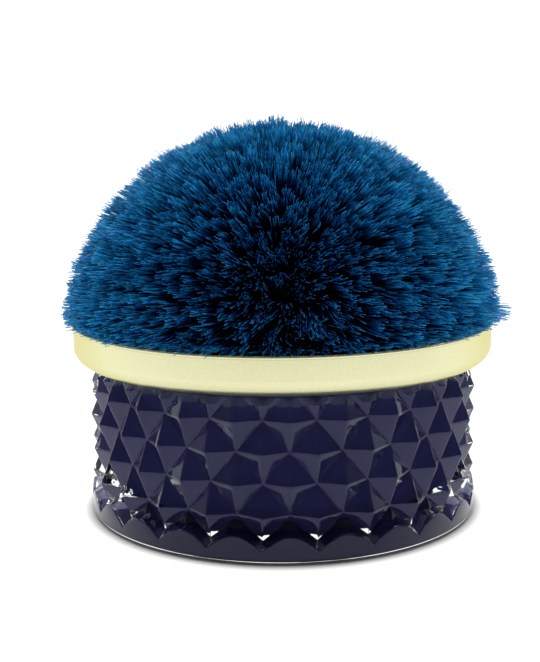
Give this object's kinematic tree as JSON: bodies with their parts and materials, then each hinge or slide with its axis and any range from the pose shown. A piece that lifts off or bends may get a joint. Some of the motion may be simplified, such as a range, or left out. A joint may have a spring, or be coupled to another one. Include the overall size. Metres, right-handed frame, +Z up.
{
  "type": "vanity trinket box",
  "caption": "Round pressed-glass trinket box with a navy lining, and a gold pan lid topped by a dense dome of blue bristles; the lid lifts off.",
  "frame": {"origin": "centre of the jar's foot, on the surface that it stands on", "axes": "+Z up along the jar's axis, the way the lid lifts; +X and +Y alike, as the jar and lid are round"},
  "size_m": [0.1098, 0.1098, 0.0965],
  "materials": {
    "clear_glass": "pressed clear glass, fire polished",
    "navy_lacquer": "navy gloss lining",
    "champagne_gold": "satin pale gold sheet metal",
    "black_plastic": "moulded, fine matt grain",
    "clear_silicone": "translucent silicone",
    "beech_block": "turned beech, bare",
    "zinc_plated_steel": "zinc plated",
    "blue_bristle": "fine glossy blue synthetic fibre"
  },
  "bodies": {
    "jar": {"glass_jar": "clear_glass", "navy_liner": "navy_lacquer"},
    "lid": {"lid_pan": "champagne_gold", "lid_plug": "black_plastic", "seal_ring": "clear_silicone", "tuft_block": "beech_block", "block_screw_1": "zinc_plated_steel", "block_screw_2": "zinc_plated_steel", "block_screw_3": "zinc_plated_steel", "block_screw_4": "zinc_plated_steel", "bristle_row_1": "blue_bristle", "bristle_row_2": "blue_bristle", "bristle_row_3": "blue_bristle", "bristle_row_4": "blue_bristle", "bristle_row_5": "blue_bristle", "bristle_row_6": "blue_bristle", "bristle_crown": "blue_bristle"}
  },
  "joints": [
    {"name": "lid_lift", "type": "slide", "parent": "jar", "child": "lid", "axis": [0, 0, 1], "range_m": [0, 0.06]}
  ]
}
